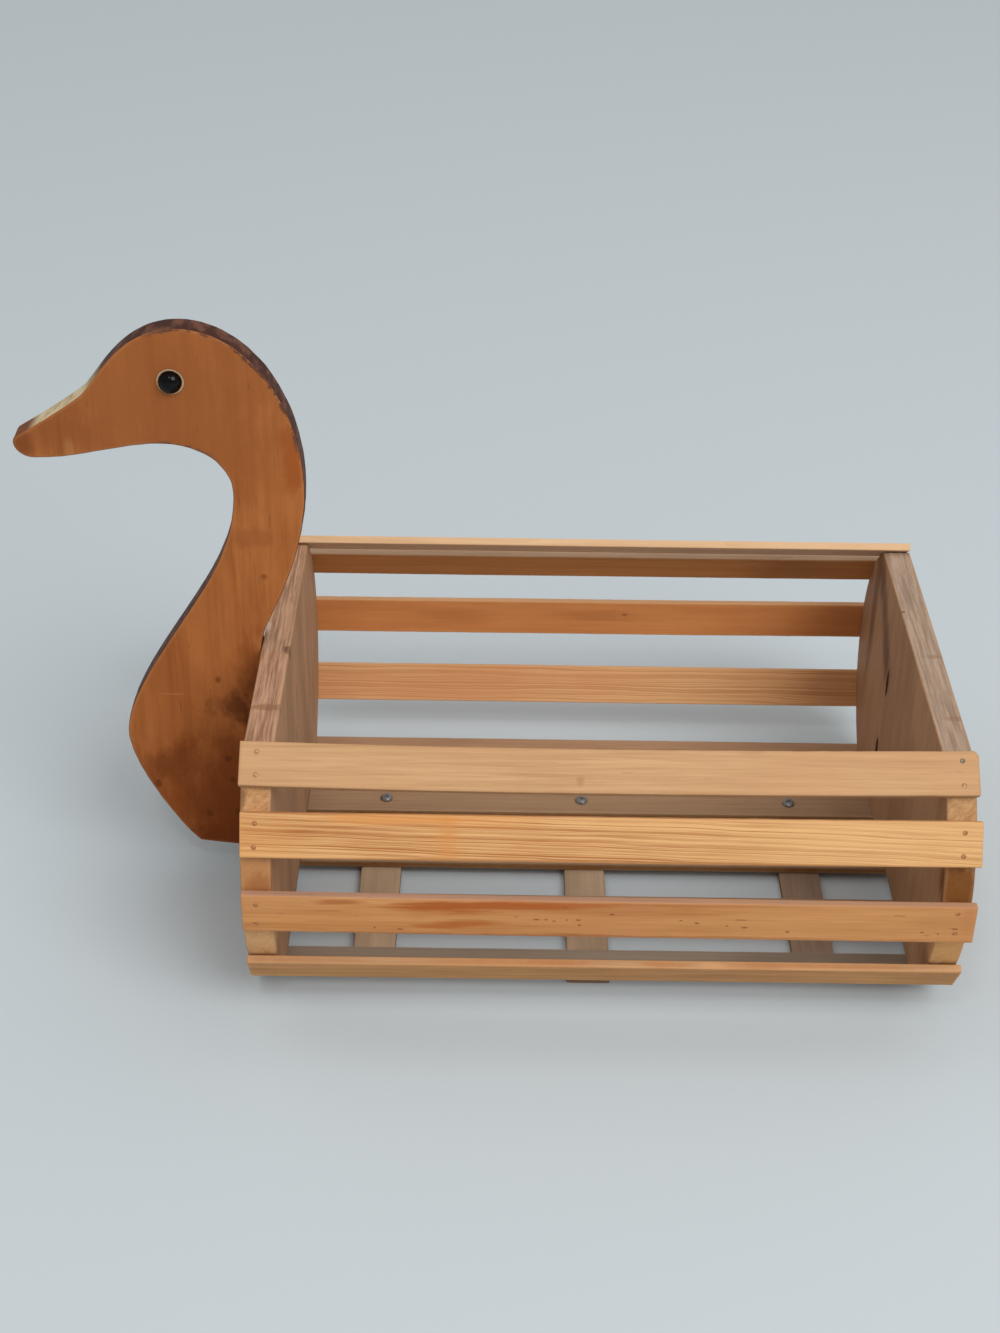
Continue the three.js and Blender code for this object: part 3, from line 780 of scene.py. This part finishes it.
def goose_finish():
    """Brown stain on one wide board with upright grain, darker towards the foot and along the panel."""
    deep = (100, 49, 16)
    brown = (122, 62, 24)
    stains = (
        (-24, 30, 96, 68, (152, 77, 31), 0.75, 0.6, 0.3),
        (-10, 36, 46, 66, (130, 65, 22), 0.85, 0.6, 0.4),
        (-2, 128, 17, 50, (128, 63, 20), 0.75, 0.6, 0.5),
        (-20, 128, 14, 10, deep, 0.75, 0.6, 0.6),
        (-6, 116, 8, 26, deep, 0.7, 0.6, 0.6),
        (-66, 78, 22, 13, brown, 0.6, 0.7, 0.6),
        (-12, 12, 34, 20, (116, 54, 18), 0.6, 0.7, 0.6),
        (0, 261, 16, 5, (150, 84, 40), 0.45, 0.8, 0.8),
        (27, 326, 6, 24, (166, 80, 26), 0.7, 0.4, 0.5),
        (-60, 366, 96, 62, (158, 92, 47), 0.75, 0.6, 0.4),
        (4, 232, 2, 2, brown, 0.6, 0.5, 0.5),
        (-64, 138, 9, 0.6, (196, 134, 82), 0.4, 0.5, 0.3),
        (-114, 324, 3, 8, (206, 140, 84), 0.45, 0.5, 0.4),
        (-146, 326, 7, 12, (120, 62, 28), 0.65, 0.5, 0.4),
        (-124, 338, 26, 16, (136, 76, 40), 0.45, 0.7, 0.4),
    )
    spots = ((-28, 84), (-26, 66), (-12, 62), (-44, 36), (-24, 38), (-31, 150), (-78, 62), (-16, 92),
             (-58, 20))
    stains += tuple((x, z, 2, 2.4, deep, 0.6, 0.5, 0.6) for x, z in spots)
    face, through = goose_seat(), 60
    marks = tuple(((face + x, 0, PANEL_FOOT + z, half_x, through, half_z), *look)
                  for x, z, half_x, half_z, *look in stains)
    return wood("goose_wood", (196, 121, 66), (153, 87, 42), turn=UPRIGHT, pith=(20, 260), spacing=15.0,
                line=0.2, lean=0.03, wobble=2.5, fibre=0.3, streak=0.5, mottle=0.85,
                patch=((160, 90, 42), 0.5), specks=0.25, marks=marks, over=goose_edges,
                edge=((188, 128, 82), 0.25), fray=(14.0, 0.6), seed=9, rough=(0.5, 0.64), gloss=0.1,
                bump=0.15)


def make_camera():
    data = bpy.data.cameras.new("camera")
    data.sensor_fit = "HORIZONTAL"
    data.lens = CAMERA_FOCAL * data.sensor_width
    sweep = math.cos(CAMERA_PITCH)
    ahead = Vector((math.sin(CAMERA_YAW) * sweep, math.cos(CAMERA_YAW) * sweep, -math.sin(CAMERA_PITCH)))
    level = Vector((math.cos(CAMERA_YAW), -math.sin(CAMERA_YAW), 0))
    above = level.cross(ahead)
    right = level * math.cos(CAMERA_ROLL) + above * math.sin(CAMERA_ROLL)
    up = above * math.cos(CAMERA_ROLL) - level * math.sin(CAMERA_ROLL)
    camera = add_object("camera", data)
    camera.matrix_world = seat_of(right, up, -ahead, CAMERA_PLACE)
    bpy.context.scene.camera = camera


def make_sky():
    """White light from all round that grows from the horizon to overhead, seen as a plain backdrop."""
    world = bpy.data.worlds.new("world")
    bpy.context.scene.world = world
    world.use_nodes = True
    tree = world.node_tree
    sky = next(n for n in tree.nodes if n.type == "BACKGROUND")
    sky.inputs["Color"].default_value = (1, 1, 1, 1)
    direction = tree.nodes.new("ShaderNodeTexCoord")
    parts = tree.nodes.new("ShaderNodeSeparateXYZ")
    rise = tree.nodes.new("ShaderNodeMapRange")
    rise.inputs["To Min"].default_value = SKY_LOW
    rise.inputs["To Max"].default_value = SKY_HIGH
    tree.links.new(direction.outputs["Generated"], parts.inputs[0])
    tree.links.new(parts.outputs["Z"], rise.inputs["Value"])
    rays = tree.nodes.new("ShaderNodeLightPath")
    seen = rays.outputs["Is Camera Ray"]
    for name in ("Is Glossy Ray", "Is Transmission Ray"):
        either = tree.nodes.new("ShaderNodeMath")
        either.operation = "MAXIMUM"
        tree.links.new(seen, either.inputs[0])
        tree.links.new(rays.outputs[name], either.inputs[1])
        seen = either.outputs[0]
    choice = tree.nodes.new("ShaderNodeMix")
    tree.links.new(seen, choice.inputs[0])
    tree.links.new(rise.outputs[0], choice.inputs[2])
    choice.inputs[3].default_value = BACKDROP
    tree.links.new(choice.outputs[0], sky.inputs["Strength"])


def make_lamp(name, place, size, power):
    data = bpy.data.lights.new(name, "AREA")
    data.shape = "DISK"
    data.size = size
    data.energy = power
    lamp = add_object(name, data)
    lamp.location = place
    lamp.rotation_euler = (-Vector(place)).to_track_quat("-Z", "Y").to_euler()


def make_floor():
    mesh = bpy.data.meshes.new("floor")
    far = FLOOR_REACH
    mesh.from_pydata([(-far, -far, 0), (far, -far, 0), (far, far, 0), (-far, far, 0)], [], [(0, 1, 2, 3)])
    mesh.materials.append(plain_floor("floor_plain"))
    add_object("floor", mesh)


def seat_of(x_axis, y_axis, z_axis, place):
    axes = Matrix((x_axis, y_axis, z_axis)).transposed().to_4x4()
    return Matrix.Translation(place) @ axes


def nail_mesh():
    """A small sunk nail head with a short length of shank."""
    r = NAIL_RADIUS
    profile = [(0, -2.2), (0.7, -2.2), (0.75, -0.6), (r - 0.1, -0.5), (r, -0.4), (r, -0.15),
               (r - 0.15, -0.03), (0.9, 0.03), (0.45, -0.02), (0, -0.05)]
    return lathe(profile, NAIL_SIDES)


def nail_pit():
    """The shallow funnel that a driven nail leaves in the wood."""
    r = NAIL_RADIUS
    wide = r + 0.4
    profile = [(0, -1.0), (r + 0.05, -1.0), (r + 0.08, -NAIL_SINK), (wide, 0.12), (wide, 1), (0, 1)]
    return lathe(profile, NAIL_SIDES)


def drive_nail(board, hole, name, finish, nodes=()):
    """Sinks one nail head into a board at a place whose Z axis points out of the wood."""
    carve(board, nail_pit(), hole)
    turn = NAIL_SPIN * (hole.translation.x + hole.translation.y + hole.translation.z)
    sunk = hole @ Matrix.Translation((0, 0, -NAIL_SINK * MM)) @ Matrix.Rotation(turn, 4, "Z")
    nail = place_piece(nail_mesh(), name, sunk, finish, nodes)
    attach(nail, "root")


def corner_cutter(x, y, r):
    """What wear takes off a strip's upper right corner, outside a quarter circle."""
    past = 4 * MM
    outline = [Vector((x + past, y + past)), Vector((x - r, y + past))]
    outline += arc((x - r, y - r), r, 90, 0, 8) + [Vector((x + past, y - r))]
    bm = bmesh.new()
    skin(bm, [[bm.verts.new((p.x, p.y, z)) for p in outline] for z in (-past, past)])
    return bm


def nail_slat(slat, node, seat, middle, facing, finishes):
    """Two nails at each end of a slat, each a little out of place."""
    for end_name, end in ENDS:
        for level_name, level in LEVELS:
            name = node + "_nail_" + end_name + "_" + level_name
            x = -facing * (end * NAIL_REACH * MM - middle.x)
            spot = Vector((x, level * NAIL_SPACING / 2 * MM, STRIP_THICKNESS / 2 * MM))
            drift_x = noise.noise(spot * 900 + middle * 50)
            drift_y = noise.noise(spot * 700 - middle * 50)
            hole = seat @ Matrix.Translation(spot + Vector((drift_x, drift_y, 0)) * NAIL_WANDER * MM)
            look = "rusty" if node in RUSTY_SLATS else "dull"
            look = "dark" if name in DARK_NAILS else look
            drive_nail(slat, hole, name + "_head", finishes[look], [name])


def make_slats(nail_finishes):
    centre_y, middle_z = (value * MM for value in bowed_edge()[1:])
    for side in SIDES:
        facing = -1 if side == "front" else 1
        for index, row in enumerate(ROWS):
            key = side + "_" + row
            node = key + "_slat"
            low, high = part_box(node)
            middle = (low + high) / 2
            tilt = math.atan2(middle.z - middle_z, abs(middle.y) - centre_y)
            outer = Vector((0, facing * math.cos(tilt), math.sin(tilt)))
            along = Vector((-facing, 0, 0))
            seat = seat_of(along, outer.cross(along), outer, middle)
            length = high.x - low.x
            slat = strip(node, length, STRIP_WIDTH * MM, seat, slat_finish(key),
                         SLAT_BOWS.get(key, 0.0), SLAT_SKEWS.get(key, (0, 0)), seed=index + 5 * facing,
                         count=SLAT_STEPS)
            if node == WORN_SLAT:
                carve(slat, corner_cutter(length / 2, STRIP_WIDTH / 2 * MM, WORN_CORNER * MM), seat)
            nail_slat(slat, node, seat, middle, facing, nail_finishes)
            finish_piece(slat)


def make_floor_strips(nail_finish):
    """Floor strips, each nailed up into the panels' feet at both ends."""
    foot = (PANEL_DEPTH / 2 - EDGE_BULGE - NAIL_MARGIN) * MM
    for index, (light, dark) in enumerate(FLOOR_TONES):
        node = "floor_strip_" + str(index + 1)
        low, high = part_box(node)
        nudge = Vector((0, STRIP_NUDGES.get(node, 0.0) * MM, 0))
        low, high = low + nudge, high + nudge
        length = high.x - low.x
        seat = Matrix.Translation((low + high) / 2)
        finish = floor_finish(node + "_wood", light, dark, index + 1)
        piece = strip(node, length, high.y - low.y, seat, finish, seed=index + 20)
        first, last = max(low.y, -foot), min(high.y, foot)
        for end_name, end in ENDS:
            for place_name, share in (("front", 0.25), ("back", 0.75)):
                x = end * (length / 2 - NAIL_INSET * MM)
                spot = Vector((x, first + share * (last - first), low.z))
                hole = Matrix.Translation(spot) @ Matrix.Rotation(math.pi, 4, "X")
                drive_nail(piece, hole, node + "_nail_" + end_name + "_" + place_name, nail_finish)
        finish_piece(piece)


def make_cross_slats():
    for index, (name, (light, dark)) in enumerate(CROSS_TONES.items()):
        node = name + "_cross_slat"
        low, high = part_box(node)
        seat = seat_of(Vector((0, 1, 0)), Vector((-1, 0, 0)), Vector((0, 0, 1)), (low + high) / 2)
        finish = floor_finish(node + "_wood", light, dark, index + 11)
        piece = strip(node, high.y - low.y, high.x - low.x, seat, finish,
                      drift=CROSS_DRIFT, seed=index + 30)
        finish_piece(piece)


def screw_mesh():
    """A pan head on a short shank."""
    r, h, rim = SCREW_RADIUS, SCREW_HEIGHT, SCREW_RIM
    profile = [(0, -9.0), (0.4, -8.6), (1.6, -6.4), (1.8, -0.3), (1.8, 0), (r - 0.25, 0.0), (r, 0.2),
               (r, rim)]
    for step in range(1, 8):
        angle = math.radians(90 * step / 8)
        profile.append((r * 0.18 + r * 0.82 * math.cos(angle), rim + (h - rim) * math.sin(angle)))
    return lathe(profile + [(0, h)], SCREW_SIDES)


def cross_recess():
    """Two crossed tapered slots."""
    bm = bmesh.new()
    for turn in (0, math.pi / 2):
        made = bmesh.ops.create_cube(bm, size=1.0)
        for vert in made["verts"]:
            taper = RECESS_TAPER if vert.co.z < 0 else 1.0
            x, y = vert.co.x * RECESS_LENGTH * taper * MM, vert.co.y * RECESS_WIDTH * MM
            z = (vert.co.z * RECESS_HEIGHT + RECESS_HEIGHT / 2 + SCREW_HEIGHT - RECESS_DEPTH) * MM
            vert.co = (x * math.cos(turn) - y * math.sin(turn), x * math.sin(turn) + y * math.cos(turn), z)
    return bm


def make_screws():
    finish = metal("screw_zinc", (164, 167, 169), (84, 86, 87), 0.35, 0.6)
    for name, turn in SCREW_TURNS.items():
        node = "floor_screw_" + name
        low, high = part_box(node)
        middle = (low + high) / 2
        seat = Matrix.Translation((middle.x, middle.y, high.z - SCREW_HEIGHT * MM))
        seat = seat @ Matrix.Rotation(turn, 4, "Z")
        piece = place_piece(screw_mesh(), node + "_head", seat, finish, [node])
        carve(piece, cross_recess(), seat)
        weld(piece)
        finish_piece(piece)


def band(x, start, end, half, tone, amount):
    """A soft slanting streak on a panel's face, from one (y, z) place to another."""
    count = 9
    line = [Vector(start).lerp(Vector(end), i / (count - 1)) for i in range(count)]
    return tuple(((x, p.x, p.y, 9, half, half), tone, amount, 0.6, 0.4) for p in line)


# Stains, knots, cracks and dark streaks of the panels, with painted shade along the foot of the left panel's
# inner face and painted light on the front rims between the two lower slats
PANEL_MARKS = {
    "left": (
        ((-206, 15, 132, 9, 2, 9), (110, 78, 56), 0.5),
        ((-206, 0, 112, 9, 2, 8), (110, 78, 56), 0.5),
        ((-206, 60, 100, 9, 1.2, 30), (120, 84, 58), 0.4, 0.5, 0.7),
        ((-206, 96, 120, 9, 3, 60), (120, 82, 56), 0.5),
        ((-229, -150, 169, 5, 14, 8), (118, 74, 38), 0.8, 0.4, 0.4),
        ((-218, -178, 128, 40, 16, 17), (184, 127, 79), 0.8, 0.4, 0.3),
        # painted shade: a dark band along the foot of the inner face, standing for the contact shade where
        # the floor strips meet it
        ((-206, 0, 12, 9, 130, 4), (74, 46, 28), 0.6, 0.5, 0.2),
        ((-214, -176, 120, 9, 10, 7), (164, 104, 58), 0.6, 0.5, 0.6),
        # painted light: the front rim between the two lower slats is lightened against the shade it gets
        ((-218, -172, 72, 40, 16, 11), (222, 172, 120), 0.6, 0.5, 0.4),
        ((-218, -80, 191, 40, 3, 6), (134, 94, 68), 0.6, 0.5, 0.6),
        ((-209, -12, 191, 4, 5, 6), (100, 68, 48), 0.8),
        ((-226.5, 17, 190, 2.6, 6, 4), (206, 184, 164), 0.8, 0.5, 0.2)),
    "right": (
        ((206, 58, 122, 9, 3.8, 12), (28, 14, 6), 1.0, 0.25, 0.05),
        ((206, 63, 62, 9, 3.8, 9), (28, 14, 6), 1.0, 0.25, 0.05),
        ((206, 134, 130, 9, 8, 60), (104, 70, 46), 0.6, 0.6, 0.5),
        ((224, -82, 191, 8, 2.4, 6), (146, 110, 88), 0.6, 0.5, 0.4),
        ((224, -10, 191, 8, 2.4, 6), (146, 110, 88), 0.6, 0.5, 0.4),
        ((210, 46, 191, 1.6, 1.6, 6), (84, 58, 42), 0.85, 0.3, 0.3),
        ((218, -178, 128, 40, 16, 18), (121, 71, 26), 0.95, 0.4, 0.3),
        # painted light: the front rim between the two lower slats is lightened against the shade it gets
        ((218, -172, 72, 40, 16, 11), (214, 156, 94), 0.6, 0.5, 0.5))
    + band(206, (128, 182), (62, 130), 12, (74, 46, 29), 0.35),
}


def make_panels():
    outline = panel_outline()
    for index, name in enumerate(("left", "right")):
        node = name + "_end_panel"
        low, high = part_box(node)
        light, dark = PANEL_TONES[name]
        finish = panel_finish(node + "_wood", light, dark, PANEL_RIMS[name], index + 3, PANEL_MARKS[name])

        def lay(y, z, depth):
            return (low.x + depth, y, z)

        piece = slab(node, outline, high.x - low.x, PANEL_ARRIS, lay, finish, PANEL_DENTS)
        finish_piece(piece)


def eye_mesh():
    """A domed eye with a rounded rim and a short shank behind it."""
    r, rim = EYE_RADIUS, EYE_RIM
    profile = [(0, -3.0), (2.3, -3.0), (2.4, -1.0), (r - 0.5, -1.0), (r, -0.6), (r, rim)]
    for step in range(1, 14):
        angle = math.radians(90 * step / 14)
        profile.append((r * math.cos(angle) ** EYE_FULLNESS, rim + (EYE_HEIGHT - rim) * math.sin(angle)))
    return lathe(profile + [(0, EYE_HEIGHT)], EYE_SIDES)


def eye_socket():
    """The shallow round recess that an eye and its ring sit in."""
    r = EYE_RING
    return lathe([(0, -1.2), (r - 0.6, -1.2), (r, -0.6), (r + 0.2, 1), (0, 1)], EYE_SIDES)


def eye_ring():
    """The bare wood that shows round an eye."""
    r = EYE_RING
    profile = [(0, -1.25), (r - 0.55, -1.25), (r - 0.2, -0.9), (r - 0.1, -0.25), (r - 0.6, -0.15),
               (EYE_RADIUS, -0.35), (0, -0.5)]
    return lathe(profile, EYE_SIDES)


def make_goose():
    node = "goose_board"
    low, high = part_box(node)

    def lay(x, z, depth):
        return (x, low.y + depth, z)

    piece = slab(node, goose_outline(), high.y - low.y, GOOSE_ARRIS, lay, goose_finish(),
                 GOOSE_DENTS)
    black = gloss_black("eye_gloss")
    bare = wood("eye_ring_wood", (214, 184, 150), (184, 148, 112), turn=UPRIGHT, pith=(20, 0), spacing=2.0)
    for name, facing in (("front", -1), ("rear", 1)):
        eye = name + "_eye"
        eye_low, eye_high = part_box(eye)
        middle = (eye_low + eye_high) / 2
        place = (middle.x, low.y if facing < 0 else high.y, middle.z)
        seat = seat_of(Vector((1, 0, 0)), Vector((0, 0, -facing)), Vector((0, facing, 0)), place)
        carve(piece, eye_socket(), seat)
        ring = place_piece(eye_ring(), eye + "_ring", seat, bare)
        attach(ring, "root")
        sunk = seat @ Matrix.Translation((0, 0, -EYE_SINK * MM))
        dome = place_piece(eye_mesh(), eye + "_dome", sunk, black, [eye])
        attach(dome, "root")
    finish_piece(piece)


def dress_dowels():
    """The hidden dowels keep their own shape and get bare wood."""
    finish = wood("dowel_bare_wood", (226, 196, 156), (196, 160, 118), pith=(14, 6), spacing=2.4)
    for node in ("goose_dowel_lower", "goose_dowel_upper"):
        for slot in bpy.data.objects[node].material_slots:
            slot.material = finish


bpy.context.scene.view_settings.view_transform = "Standard"
make_camera()
make_sky()
make_lamp("lamp", LAMP_PLACE, LAMP_SIZE, LAMP_POWER)
make_lamp("spark", SPARK_PLACE, SPARK_SIZE, SPARK_POWER)
make_floor()
nail_finishes = {
    "dull": metal("nail_dull", (218, 170, 122), (124, 82, 50), 0.55, 0.25),
    "dark": metal("nail_dark", (160, 138, 114), (84, 68, 54), 0.5, 0.5),
    "rusty": metal("nail_rusty", (204, 142, 90), (122, 74, 42), 0.6, 0.2),
}
make_panels()
make_goose()
make_slats(nail_finishes)
make_floor_strips(nail_finishes["dull"])
make_cross_slats()
make_screws()
dress_dowels()
